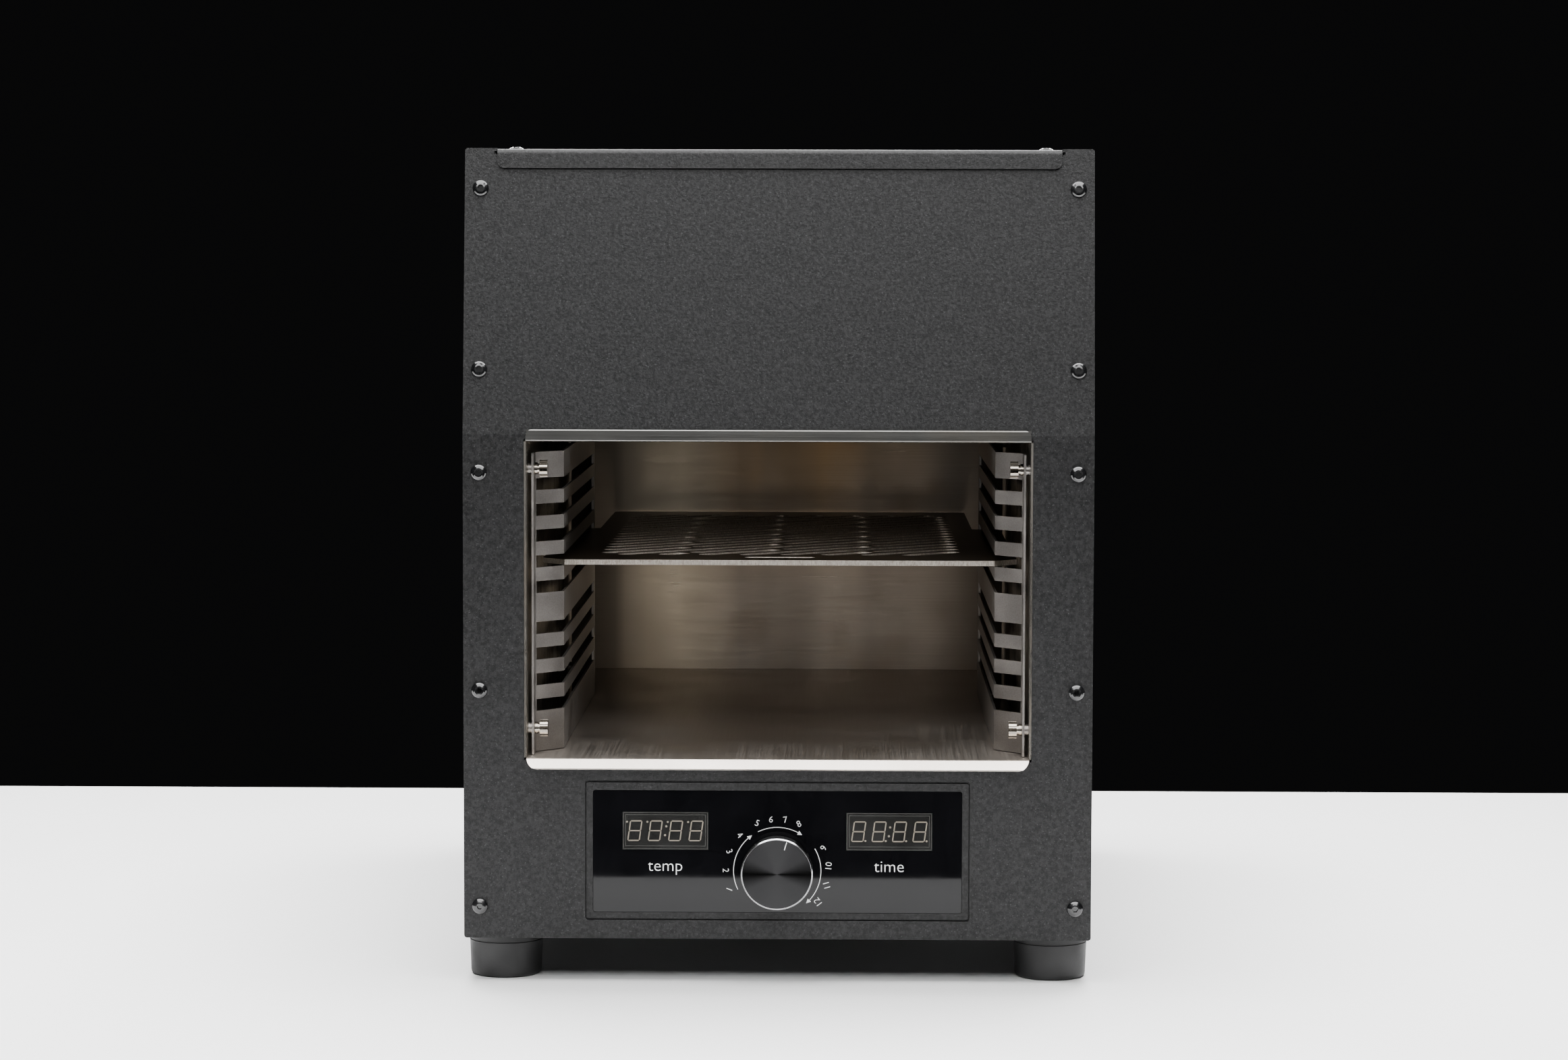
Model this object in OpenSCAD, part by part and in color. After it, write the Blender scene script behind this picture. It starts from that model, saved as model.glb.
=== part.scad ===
// Open-front tray oven: powder-coated case on four feet, stainless cavity with slotted racks,
// one slotted tray, top heater, and a glass control strip with one knob.
// Units are millimetres, +Z is up, the open front faces -Y, and the table is at z = 0.

/* [Case] */
// width of the case
case_width = 310; // [280:1:340]
// y of the lower front face
front_y = -220; // [-240:1:-200]
// y of the rear panel's outer face
rear_y = 229; // [200:1:250]
// height of the feet below the case
foot_height = 21.7; // [12:0.1:30]
// height of the lid's top face
case_top = 411.1; // [380:0.1:440]
// height of the crease across the front panel
crease_z = 271.2; // [260:0.1:290]
// how far the front's top edge sits behind its lower part
set_back = 18; // [0:1:40]
// thickness of the case sheet
sheet = 1.2; // [0.8:0.1:2]
// radius of the round feet
foot_radius = 18.2; // [12:0.1:22]

/* [Cavity] */
// clear width between the cavity's side walls
cavity_width = 248; // [200:1:260]
// height of the cavity floor's upper face
floor_z = 111.4; // [100:0.1:130]
// height of the cavity ceiling's lower face
ceiling_z = 267.9; // [240:0.1:280]
// y of the cavity's back wall
back_y = 197; // [150:1:210]
// thickness of the cavity's stainless sheet
liner = 1; // [0.6:0.1:1.5]

/* [Racks and tray] */
// distance between slot bottoms in each group
slot_pitch = 12.87; // [10:0.01:20]
// height of each slot
slot_height = 6; // [4:0.1:10]
// lowest slot bottom of the upper group
upper_group_z = 190.9; // [180:0.1:200]
// lowest slot bottom of the lower group
lower_group_z = 131.9; // [120:0.1:140]
// half width between the racks' inner faces
rack_inner = 108; // [90:1:115]
// tray thickness
tray_thick = 2.6; // [1.5:0.1:4]
// half width of the tray
tray_half = 119.6; // [110:0.1:120]

/* [Controls] */
// height of the knob's axis
knob_z = 55.8; // [45:0.1:65]
// knob radius
knob_radius = 17.7; // [12:0.1:22]
// y of the control glass's front face
glass_y = -219.6; // [-225:0.1:-215]

/* [Hidden] */
half = case_width / 2;
flange = 15;
top_flange = 30;
lean = atan(set_back / (case_top - crease_z));
screw_x = half - 7.9;
screw_zs = [37.5, 144.9, 252.5, 303, 391.8];
cover_ys = [-158, -94, -30, 34, 98, 162];
cover_x = 133.4;
base_ys = [-165, -55, 55, 165];
foot_x = 136.2;
foot_ys = [-195, 204];
slot_zs = [for (k = [0:4]) upper_group_z + k * slot_pitch, for (k = [0:3]) lower_group_z + k * slot_pitch];
tray_z = upper_group_z + slot_pitch + 0.1;
thumb_y = -204;
thumb_zs = [253.7, 124.5];
tube_xs = [for (k = [0:7]) -91 + 26 * k];
fan_z = 364;
inlet_x = -95;
rocker_x = -38;
rear_parts_z = 66;
side_top = case_top - 1.3;
ear_top = case_top + 0.5;
base_top = foot_height + sheet + 0.1;
element_z = ceiling_z + 18.2;
hood_z = ceiling_z + 32.2;
probe_z = ceiling_z + 5.2;
coat = [0.05, 0.05, 0.055];
steel = [0.72, 0.7, 0.67];
grey_steel = [0.55, 0.55, 0.55];
black = [0.03, 0.03, 0.03];

function face_y(z) = z <= crease_z ? front_y : front_y + set_back * (z - crease_z) / (case_top - crease_z);

// A flat shape drawn in (y, z), pushed along X
module along_x(x0, x1) {
  translate([x0, 0, 0])
    rotate([90, 0, 90])
      linear_extrude(x1 - x0) children();
}

// A flat shape drawn in (x, z), pushed along Y
module along_y(y0, y1) {
  translate([0, y1, 0])
    rotate([90, 0, 0])
      linear_extrude(y1 - y0) children();
}

module block(x0, x1, y0, y1, z0, z1) {
  translate([x0, y0, z0]) cube([x1 - x0, y1 - y0, z1 - z0]);
}

module rounded(x0, x1, y0, y1, r) {
  translate([x0 + r, y0]) square([x1 - x0 - 2 * r, y1 - y0]);
  translate([x0, y0 + r]) square([x1 - x0, y1 - y0 - 2 * r]);
  for (x = [x0 + r, x1 - r], y = [y0 + r, y1 - r])
    translate([x, y]) circle(r, $fn = 24);
}

module slot_shape(length, width) {
  square([length - width, width], center = true);
  for (s = [-1, 1])
    translate([s * (length - width) / 2, 0]) circle(width / 2, $fn = 20);
}

module rod_x(x0, x1, y, z, r, n = 24) {
  translate([x0, y, z]) rotate([0, 90, 0]) cylinder(r = r, h = x1 - x0, $fn = n);
}

module rod_y(y0, y1, x, z, r, n = 24) {
  translate([x, y1, z]) rotate([90, 0, 0]) cylinder(r = r, h = y1 - y0, $fn = n);
}

module rod_z(z0, z1, x, y, r, n = 24) {
  translate([x, y, z0]) cylinder(r = r, h = z1 - z0, $fn = n);
}

// Button-head screw: the head stands on z = 0 and the shank goes down
module button_screw(length) {
  difference() {
    rotate_extrude($fn = 28)
      polygon([[0, -length], [1.95, -length], [1.95, 0], [4, 0], [4, 0.6], [3.75, 1.15],
        [3.1, 1.7], [2.2, 2.1], [1.6, 2.2], [0, 2.2]]);
    translate([0, 0, 0.8]) cylinder(r = 1.45, h = 3, $fn = 6);
  }
}

// Places its children on the front face at height z, pointing out of it
module on_front(x, z) {
  a = z > crease_z ? lean : 0;
  translate([x, face_y(z), z]) rotate([90 - a, 0, 0]) children();
}

module front_holes(r) {
  for (s = [-1, 1], z = screw_zs)
    on_front(s * screw_x, z)
      translate([0, 0, -5]) cylinder(r = r, h = 10, $fn = 24);
}

module rear_holes(r) {
  for (s = [-1, 1], z = screw_zs)
    rod_y(rear_y - 8, rear_y + 4, s * screw_x, z, r);
}

module cover_holes(r) {
  for (s = [-1, 1], y = cover_ys)
    rod_z(case_top - 6, case_top + 3, s * cover_x, y, r);
}

module base_holes(r) {
  for (s = [-1, 1], y = base_ys)
    rod_z(foot_height - 3, foot_height + 6, s * screw_x, y, r);
}

module foot_holes(r) {
  for (s = [-1, 1], y = foot_ys)
    rod_z(foot_height - 1, foot_height + 6, s * foot_x, y, r);
}

// Front panel: one folded sheet with the cavity opening and the control cut-out
module front_panel() {
  color(coat)
  difference() {
    intersection() {
      along_x(-half, half)
        polygon([[front_y, foot_height], [front_y, crease_z], [face_y(ear_top), ear_top],
          [face_y(ear_top) + sheet, ear_top], [front_y + sheet, crease_z],
          [front_y + sheet, foot_height]]);
      along_y(-240, -180)
        difference() {
          rounded(-half, half, foot_height, ear_top, 1.5);
          translate([-139.3, case_top - 3]) square([278.6, 5]);
          for (s = [-1, 1])
            translate([s * 139.9 - 0.7, case_top - 2.4]) square([1.4, 1.4]);
          translate([-cavity_width / 2 - liner - 0.1, floor_z - liner - 0.1])
            square([cavity_width + 2 * liner + 0.2, ceiling_z - floor_z + 2 * liner + 0.2]);
          rounded(-95, 95, 31, 100.6, 1.5);
        }
    }
    front_holes(2.15);
  }
}

// Side panel drawn for +X: a wall with flanges turned in along all four edges
module side_shell() {
  f = front_y + sheet + 0.1;
  t = face_y(side_top) + sheet + 0.1;
  r = rear_y - sheet - 0.1;
  b = foot_height + sheet + 0.1;
  difference() {
    union() {
      difference() {
        along_x(half - flange, half)
          polygon([[f, b], [f, crease_z], [t, side_top], [r, side_top], [r, b]]);
        along_x(half - flange - 1, half - sheet)
          polygon([[f + sheet, b + sheet], [f + sheet, crease_z], [t + sheet, side_top - sheet],
            [r - sheet, side_top - sheet], [r - sheet, b + sheet]]);
      }
      block(half - top_flange, half - 1, t + 4, r - 2, side_top - sheet, side_top);
    }
    for (k = [0:13], z = [300, 352])
      along_x(half - 3, half + 1)
        translate([-120 + 20 * k, z]) rotate(90) slot_shape(40, 5);
  }
}

module side_panel(s) {
  color(coat)
  difference() {
    if (s > 0) side_shell();
    else mirror([1, 0, 0]) side_shell();
    front_holes(2.05);
    rear_holes(2.05);
    cover_holes(2.05);
    base_holes(2.05);
  }
}

module left_side_panel() {
  side_panel(-1);
}

module right_side_panel() {
  side_panel(1);
}

// Lid with a lip folded down over the front, its bend round and bright
module top_cover() {
  bend = 2.6;
  zc = case_top - bend;
  out = 0.15 + sheet / cos(lean);
  yc = face_y(zc) - out + bend / cos(lean);
  lip_z = case_top - 9.3;
  turns = [for (k = [0:8]) 90 + k * (90 - lean) / 8];
  turns_back = [for (k = [8:-1:0]) 90 + k * (90 - lean) / 8];
  color(coat)
  difference() {
    union() {
      along_x(-139, 139)
        polygon(concat(
          [[-150, case_top]],
          [for (a = turns) [yc + bend * cos(a), zc + bend * sin(a)]],
          [[face_y(lip_z) - out, lip_z], [face_y(lip_z) - 0.15, lip_z]],
          [for (a = turns_back) [yc + (bend - sheet) * cos(a), zc + (bend - sheet) * sin(a)]],
          [[-150, case_top - sheet]]));
      block(-half, half, face_y(case_top) + sheet + 0.1, rear_y - sheet - 0.1, case_top - sheet, case_top);
    }
    for (s = [-1, 1])
      along_y(-215, -195)
        translate([s * 135.5, lip_z + 3.5])
          difference() {
            translate([s > 0 ? 0 : -5, -5]) square(5);
            circle(3.5, $fn = 32);
          }
    cover_holes(2.15);
  }
}

// Base plate with cooling slots
module base_plate() {
  color(coat)
  difference() {
    translate([0, 0, foot_height])
      linear_extrude(sheet)
        rounded(-half, half, front_y + sheet + 0.1, rear_y - sheet - 0.1, 1.5);
    for (k = [0:9], y = [-90, 0, 90])
      translate([-81 + 18 * k, y, foot_height - 1])
        linear_extrude(4) rotate(90) slot_shape(60, 6);
    base_holes(2.15);
    foot_holes(2.6);
  }
}

// Rear panel with cut-outs for fan, inlet and switch, and rows of vent slots
module rear_panel() {
  color(coat)
  difference() {
    along_y(rear_y - sheet, rear_y)
      difference() {
        rounded(-half, half, foot_height, case_top, 1.5);
        translate([0, fan_z]) circle(38, $fn = 64);
        for (x = [-35.75, 35.75], z = [-35.75, 35.75])
          translate([x, fan_z + z]) circle(2.2, $fn = 20);
        translate([inlet_x - 23.6, rear_parts_z - 12.6]) square([47.2, 25.2]);
        translate([rocker_x - 9.6, rear_parts_z - 15.1]) square([19.2, 30.2]);
        for (k = [0:10], z = [150, 205])
          translate([-100 + 20 * k, z]) rotate(90) slot_shape(40, 5);
        for (k = [0:2], s = [-1, 1])
          translate([s * (65 + 18 * k), fan_z]) rotate(90) slot_shape(56, 5);
      }
    rear_holes(2.15);
  }
}

module front_screws() {
  color(black)
  for (s = [-1, 1], z = screw_zs)
    on_front(s * screw_x, z)
      translate([0, 0, 0.04]) button_screw(6);
}

module cover_screws() {
  color(black)
  for (s = [-1, 1], y = cover_ys)
    translate([s * cover_x, y, case_top]) button_screw(6);
}

module rear_screws() {
  color(black)
  for (s = [-1, 1], z = screw_zs)
    translate([s * screw_x, rear_y, z]) rotate([-90, 0, 0]) button_screw(6);
}

module base_screws() {
  color(black)
  for (s = [-1, 1], y = base_ys)
    translate([s * screw_x, y, foot_height]) rotate([180, 0, 0]) button_screw(6);
}

// Round foot: a collar under the case, a shallow groove, and a body with a rounded lower edge
module foot(s, y) {
  r = foot_radius;
  h = foot_height - 0.1;
  color([0.04, 0.04, 0.04])
  translate([s * foot_x, y, 0])
    rotate_extrude($fn = 64)
      polygon([[5.5, 0], [r - 2.3, 0], [r - 1.4, 0.35], [r - 0.8, 1.1], [r - 0.6, 2.2], [r, h - 4.1],
        [r - 0.35, h - 3.85], [r - 0.35, h - 3.65], [r, h - 3.4], [r, h - 0.5], [r - 0.5, h], [2.6, h],
        [2.6, 12], [5.5, 12]]);
}

module foot_front_left() {
  foot(-1, foot_ys[0]);
}

module foot_front_right() {
  foot(1, foot_ys[0]);
}

module foot_rear_left() {
  foot(-1, foot_ys[1]);
}

module foot_rear_right() {
  foot(1, foot_ys[1]);
}

module foot_screws() {
  color(grey_steel)
  for (s = [-1, 1], y = foot_ys)
    translate([s * foot_x, y, 0]) {
      rod_z(8.2, 11.95, 0, 0, 4.8);
      rod_z(8.2, base_top + 3.4, 0, 0, 2.45);
      rotate(30) rod_z(base_top, base_top + 3, 0, 0, 4.2, 6);
    }
}

// Cavity floor: its front edge passes over the panel and turns down and forward as a slanting lip
module cavity_floor() {
  w = cavity_width / 2;
  tip = front_y - 5.2;
  low = floor_z - 4.4;
  color(steel)
  difference() {
    union() {
      along_x(-w, w)
        polygon([[-200, floor_z], [front_y, floor_z], [front_y - 0.7, floor_z - 0.3], [tip, low],
          [tip + 0.7, low - 0.7], [front_y - 0.1, floor_z - 1.1], [front_y - 0.1, floor_z - liner],
          [-200, floor_z - liner]]);
      block(-w - 13, w + 13, front_y + sheet + 0.1, back_y + 12, floor_z - liner, floor_z);
    }
    for (s = [-1, 1])
      along_y(-230, -220.05)
        translate([s * (w - 6), low + 5.3])
          difference() {
            translate([s > 0 ? 0 : -7, -7]) square(7);
            circle(6, $fn = 40);
          }
    for (s = [-1, 1])
      block(s * (w + 7.4) - 7.5, s * (w + 7.4) + 7.5, front_y, -203.8, floor_z - 3, floor_z + 1);
  }
}

// Cavity ceiling with its lip folded up over the panel and a large opening for the heat
module cavity_ceiling() {
  w = cavity_width / 2;
  lip = front_y - 0.1;
  top = ceiling_z + 5.8;
  color(steel)
  difference() {
    union() {
      along_x(-w, w)
        polygon([[-200, ceiling_z], [lip - 0.4, ceiling_z], [lip - 0.8, ceiling_z + 0.25],
          [lip - liner, ceiling_z + 0.7], [lip - liner, crease_z], [lip - liner + 0.05, top - 0.5],
          [lip - liner + 0.5, top - 0.05], [lip + 0.1, top], [lip, crease_z], [lip, ceiling_z + liner],
          [-200, ceiling_z + liner]]);
      block(-w - 13, w + 13, -203, back_y + 12, ceiling_z, ceiling_z + liner);
    }
    block(-105, 105, -150, 130, ceiling_z - 1, ceiling_z + 3);
    for (s = [-1, 1])
      along_y(-225, -220.05)
        translate([s * (w - 3), top - 3])
          difference() {
            translate([s > 0 ? 0 : -4, 0]) square(4);
            circle(3, $fn = 32);
          }
  }
}

// Back wall: a shallow tray with its edges turned back
module cavity_back() {
  w = cavity_width / 2 - 0.1;
  color(steel)
  difference() {
    block(-w, w, back_y, back_y + 11, floor_z + 0.1, ceiling_z - 0.1);
    block(-w + liner, w - liner, back_y + liner, back_y + 12,
      floor_z + 0.1 + liner, ceiling_z - 0.1 - liner);
  }
}

// Side wall drawn for +X with flanges turned out at top and bottom
module wall_shell() {
  w = cavity_width / 2;
  difference() {
    union() {
      block(w, w + liner, front_y + 0.4, back_y + 10, floor_z + 0.1, ceiling_z - 0.1);
      block(w, w + 12, -203, back_y + 10, floor_z + 0.1, floor_z + 1.1);
      block(w, w + 12, -203, back_y + 10, ceiling_z - 1.1, ceiling_z - 0.1);
    }
    for (z = thumb_zs)
      rod_x(w - 1, w + 3, thumb_y, z, 2.1);
  }
}

module cavity_left_wall() {
  color(steel) mirror([1, 0, 0]) wall_shell();
}

module cavity_right_wall() {
  color(steel) wall_shell();
}

// Two sheet stands that carry the cavity on the base plate
module cavity_supports() {
  z0 = foot_height + sheet + 0.1;
  z1 = floor_z - liner - 0.1;
  color(grey_steel)
  for (s = [-1, 1])
    difference() {
      union() {
        block(s * 126 - 0.6, s * 126 + 0.6, -150, 180, z0, z1);
        block(s * 121.5 - 5.1, s * 121.5 + 5.1, -150, 180, z0, z0 + 1.2);
        block(s * 121.5 - 5.1, s * 121.5 + 5.1, -150, 180, z1 - 1.2, z1);
      }
      for (y = [-90, 0, 90])
        rod_x(s * 126 - 2, s * 126 + 2, y, 65, 18, 40);
    }
}

// Rack drawn for +X: one folded sheet whose inner face is cut into level slots for the tray
module rack_shell() {
  i = rack_inner;
  difference() {
    translate([0, 0, floor_z + 0.4])
      linear_extrude(149.6)
        polygon([[121, -210], [122, -210], [122, -196.2], [i + 1.2, -181.2], [i + 1.2, 59.7],
          [122, 71.7], [122, 90], [121, 90], [121, 72.3], [i, 60.3], [i, -181.8], [121, -196.7]]);
    for (z = slot_zs)
      block(i - 5, 120.8, -205, 50, z, z + slot_height);
    for (z = thumb_zs)
      rod_x(119, 124, thumb_y, z, 2.1);
  }
}

module left_rack() {
  color(grey_steel) mirror([1, 0, 0]) rack_shell();
}

module right_rack() {
  color(grey_steel) rack_shell();
}

// Spacers between racks and cavity walls: drilled ones in front, solid ones at the back
module rack_spacers() {
  color(steel)
  for (s = [-1, 1], z = thumb_zs) {
    difference() {
      union() {
        rod_x(s > 0 ? 122.05 : -123.95, s > 0 ? 123.95 : -122.05, thumb_y, z, 2.6);
        for (k = [0:1])
          rod_x(s > 0 ? 122.25 + k : -122.95 - k, s > 0 ? 122.95 + k : -122.25 - k, thumb_y, z, 3);
      }
      rod_x(s > 0 ? 122 : -125, s > 0 ? 125 : -122, thumb_y, z, 2.1);
    }
    rod_x(s > 0 ? 122.05 : -123.95, s > 0 ? 123.95 : -122.05, 81, z, 3);
  }
}

module rack_nuts() {
  color(grey_steel)
  for (s = [-1, 1], z = thumb_zs)
    difference() {
      rod_x(s > 0 ? 125.05 : -128.05, s > 0 ? 128.05 : -125.05, thumb_y, z, 4, 6);
      rod_x(s > 0 ? 125 : -129, s > 0 ? 129 : -125, thumb_y, z, 2.1);
    }
}

// Knurled thumb screw drawn for +X, its head towards the middle of the cavity
module thumb_shell(z) {
  translate([0, thumb_y, z])
    rotate([0, 90, 0])
      union() {
        difference() {
          translate([0, 0, 114.4]) cylinder(r = 4.25, h = 3.9, $fn = 45);
          for (k = [0:14])
            rotate(k * 24)
              translate([4.4, 0, 116]) rotate(45) cube([0.7, 0.7, 6], center = true);
        }
        translate([0, 0, 118.2]) cylinder(r = 2.5, h = 2, $fn = 28);
        translate([0, 0, 119.4]) cylinder(r = 3, h = 1.5, $fn = 28);
        translate([0, 0, 118.5]) cylinder(r = 1.9, h = 12, $fn = 24);
      }
}

module thumb_screw_upper_left() {
  color(steel) mirror([1, 0, 0]) thumb_shell(thumb_zs[0]);
}

module thumb_screw_lower_left() {
  color(steel) mirror([1, 0, 0]) thumb_shell(thumb_zs[1]);
}

module thumb_screw_upper_right() {
  color(steel) thumb_shell(thumb_zs[0]);
}

module thumb_screw_lower_right() {
  color(steel) thumb_shell(thumb_zs[1]);
}

// One stretch of a diagonal slot between two x values on the line y = y0 + slope * x
module tray_slot(y0, slope, xa, xb, width) {
  if (xb - xa > 1)
    translate([(xa + xb) / 2, y0 + slope * (xa + xb) / 2])
      rotate(atan(slope))
        slot_shape((xb - xa) * sqrt(1 + slope * slope) + width, width);
}

// Tray: a thick plate with chamfered corners, diagonal slots with staggered bridges, and a grip slot
module slotted_tray() {
  w = tray_half;
  f = -178;
  slope = tan(42.5);
  width = 9.4;
  gap = 4.5;
  color(steel)
  difference() {
    translate([0, 0, tray_z])
      linear_extrude(tray_thick)
        polygon([[-w + 11.6, f], [w - 11.6, f], [w, f + 11.6], [w, 46], [104, 48], [104, 186], [101, 189],
          [-101, 189], [-104, 186], [-104, 48], [-w, 46], [-w, f + 11.6]]);
    translate([0, 0, tray_z - 1])
      linear_extrude(tray_thick + 2)
        for (k = [-13:13]) {
          y0 = 7 + k * 19;
          low = max(-87.5, (-141 - y0) / slope);
          high = min(87.5, (157 - y0) / slope);
          if (k % 2 == 0) {
            tray_slot(y0, slope, low, min(-gap, high), width);
            tray_slot(y0, slope, max(gap, low), high, width);
          } else {
            tray_slot(y0, slope, low, min(-47 - gap, high), width);
            tray_slot(y0, slope, max(-47 + gap, low), min(47 - gap, high), width);
            tray_slot(y0, slope, max(47 + gap, low), high, width);
          }
        }
    translate([0, f + 18, tray_z - 1])
      linear_extrude(tray_thick + 2) slot_shape(36, 6);
  }
}

// Reflector: an upturned tray over the ceiling opening, with a flange to sit on
module heater_reflector() {
  z0 = ceiling_z + liner + 0.05;
  color(steel)
  difference() {
    union() {
      block(-112, 112, -160, 140, z0, hood_z);
      block(-123, 123, -170, 150, z0, z0 + 0.8);
    }
    block(-111.2, 111.2, -159.2, 139.2, z0 - 1, hood_z - 0.8);
    for (x = tube_xs)
      rod_y(138, 142, x, element_z, 4.3);
    rod_y(138, 142, 0, probe_z, 1.9);
  }
}

// Four hairpin elements, each a bent tube
module heating_elements() {
  color([0.25, 0.24, 0.23])
  for (k = [0:3]) {
    x = -78 + 52 * k;
    rod_y(-130, 165, x - 13, element_z, 4, 20);
    rod_y(-130, 165, x + 13, element_z, 4, 20);
    translate([x, -130, element_z])
      rotate([0, 0, 180])
        rotate_extrude(angle = 180, $fn = 40)
          translate([13, 0]) circle(4, $fn = 20);
  }
}

module element_brackets() {
  color(steel)
  for (y = [-70, 60])
    difference() {
      block(-111, 111, y, y + 1.5, element_z - 9, element_z + 13);
      for (x = tube_xs)
        rod_y(y - 1, y + 3, x, element_z, 4.15);
    }
}

module element_bushings() {
  color([0.9, 0.88, 0.82])
  for (x = tube_xs)
    difference() {
      rod_y(152.1, 158, x, element_z, 6.5);
      rod_y(150, 160, x, element_z, 4.1);
    }
}

module heater_insulation() {
  color([0.9, 0.88, 0.8])
  block(-120, 120, -165, 145, hood_z + 0.2, hood_z + 18);
}

// Outer cover over reflector and insulation
module heater_cover() {
  z0 = ceiling_z + liner + 0.9;
  color(grey_steel)
  difference() {
    block(-122.5, 122.5, -169, 152, z0, hood_z + 20);
    block(-121.7, 121.7, -168.2, 151.2, z0 - 1, hood_z + 19.2);
    for (x = tube_xs)
      rod_y(150, 153, x, element_z, 4.3);
    rod_y(150, 153, 0, probe_z, 1.9);
  }
}

module temperature_probe() {
  color(steel)
  union() {
    rod_y(20, 168, 0, probe_z, 1.6, 20);
    rod_y(156, 166, 0, probe_z, 3.2, 20);
  }
}

// Frame behind the control cut-out with a seat for the glass
module control_frame() {
  color(coat)
  difference() {
    union() {
      along_y(-218.7, -214.5) rounded(-104, 104, 25.3, 106.8, 3);
      along_y(-219.6, -218) rounded(-94.3, 94.3, 31.7, 99.4, 1.2);
    }
    along_y(-220, -217) rounded(-91.2, 91.2, 34.8, 95.6, 1.2);
    along_y(-218, -214) rounded(-88, 88, 37.8, 92.6, 1);
  }
}

// Black glass with two display windows and a hole for the rotary control
module control_glass() {
  color(black)
  difference() {
    along_y(glass_y, -217.05)
      difference() {
        rounded(-91, 91, 35, 95.4, 1);
        for (s = [-1, 1])
          translate([s * 55.3, 75.4]) square([42.6, 19], center = true);
        translate([0, knob_z]) circle(3.9, $fn = 32);
      }
  }
}

module display(s) {
  color([0.1, 0.1, 0.1])
  union() {
    block(s * 55.3 - 21.1, s * 55.3 + 21.1, -219.2, -216.5, 66.1, 84.7);
    block(s * 55.3 - 20, s * 55.3 + 20, -216.6, -212.1, 67.6, 83.2);
  }
}

module temperature_display() {
  display(-1);
}

module time_display() {
  display(1);
}

module control_board() {
  color([0.05, 0.25, 0.12])
  difference() {
    block(-100, 100, -212, -210.4, 37, 93);
    along_y(-214, -208) translate([0, knob_z]) square(13.4, center = true);
  }
}

module board_standoffs() {
  color(steel)
  for (x = [-94, 94], z = [43, 87])
    rod_y(-214.45, -212.05, x, z, 2.5);
}

// Rotary control: body behind the glass with a threaded bush for the shaft
module rotary_body() {
  color(grey_steel)
  difference() {
    union() {
      along_y(-216.9, -204.5) translate([0, knob_z]) square(12.6, center = true);
      rod_y(-222.8, -216, 0, knob_z, 3.6, 32);
    }
    rod_y(-224, -210, 0, knob_z, 3.05, 32);
    rod_y(-211, -205.6, 0, knob_z, 2.9, 32);
  }
}

module press_plunger() {
  color([0.8, 0.8, 0.75])
  rod_y(-209.8, -206.8, 0, knob_z, 2.7, 28);
}

module control_shaft() {
  color(grey_steel)
  union() {
    rod_y(-228, -212, 0, knob_z, 2.95, 32);
    rod_y(-213, -209.85, 0, knob_z, 2.7, 28);
  }
}

module knob_notch() {
  translate([0, 0, knob_z])
    rotate([0, 16.8, 0])
      block(-0.3, 0.3, -232.5, -231.5, knob_radius - 5.2, knob_radius - 0.95);
}

// Turned knob: flat spun face, straight side, hollow at the back
module control_knob() {
  r = knob_radius;
  color([0.06, 0.06, 0.06])
  difference() {
    translate([0, 0, knob_z])
      rotate([90, 0, 0])
        rotate_extrude($fn = 96)
          polygon([[0, 228.1], [2.97, 228.1], [2.97, 224.6], [6.2, 224.6], [6.2, 220.8], [r - 0.4, 220.8],
            [r, 221.2], [r, 229.6], [r - 0.75, 229.6], [r - 0.75, 231.65], [r - 0.9, 231.8], [0, 231.8]]);
    knob_notch();
  }
}

module knob_ring() {
  r = knob_radius;
  color([0.85, 0.85, 0.85])
  translate([0, 0, knob_z])
    rotate([90, 0, 0])
      rotate_extrude($fn = 96)
        polygon([[r - 0.7, 229.65], [r, 229.65], [r, 231.2], [r - 0.5, 231.75], [r - 0.7, 231.75]]);
}

// Mains inlet: flange and body with a socket recess and a pocket for the fuse drawer
module mains_inlet() {
  z = rear_parts_z;
  color(black)
  difference() {
    union() {
      along_y(rear_y + 0.05, rear_y + 2.2) rounded(inlet_x - 26, inlet_x + 26, z - 15, z + 15, 2.5);
      block(inlet_x - 23.5, inlet_x + 23.5, 203, rear_y + 1, z - 12.5, z + 12.5);
    }
    along_y(211, 235)
      translate([inlet_x - 7, z])
        polygon([[-12, -8.2], [12, -8.2], [12, 4], [8, 8.2], [-8, 8.2], [-12, 4]]);
    block(inlet_x + 11, inlet_x + 20, 206, 235, z - 9, z + 9);
  }
}

module inlet_pins() {
  color([0.8, 0.7, 0.4])
  for (p = [[-14, -1.5], [0, -1.5], [-7, 3]])
    translate([inlet_x + p[0], 218.5, rear_parts_z + p[1]]) cube([2, 14.9, 4.8], center = true);
}

module fuse_drawer() {
  z = rear_parts_z;
  x = inlet_x + 15.5;
  color([0.08, 0.08, 0.08])
  difference() {
    block(x - 4.2, x + 4.2, 206.6, 231.4, z - 8.7, z + 8.7);
    block(x - 3, x + 3, 209, 228, z - 7.5, z + 9);
    block(x - 5, x + 5, 229.8, 232, z + 6.4, z + 9);
  }
}

module switch_housing() {
  z = rear_parts_z;
  color(black)
  difference() {
    union() {
      along_y(rear_y + 0.05, rear_y + 1.2) rounded(rocker_x - 12, rocker_x + 12, z - 17.5, z + 17.5, 1.5);
      block(rocker_x - 9.5, rocker_x + 9.5, 205, rear_y + 1, z - 15, z + 15);
    }
    block(rocker_x - 7.9, rocker_x + 7.9, 208, 235, z - 13.3, z + 13.3);
    rod_x(rocker_x - 9, rocker_x + 9, 218.4, z, 1.55);
  }
}

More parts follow.
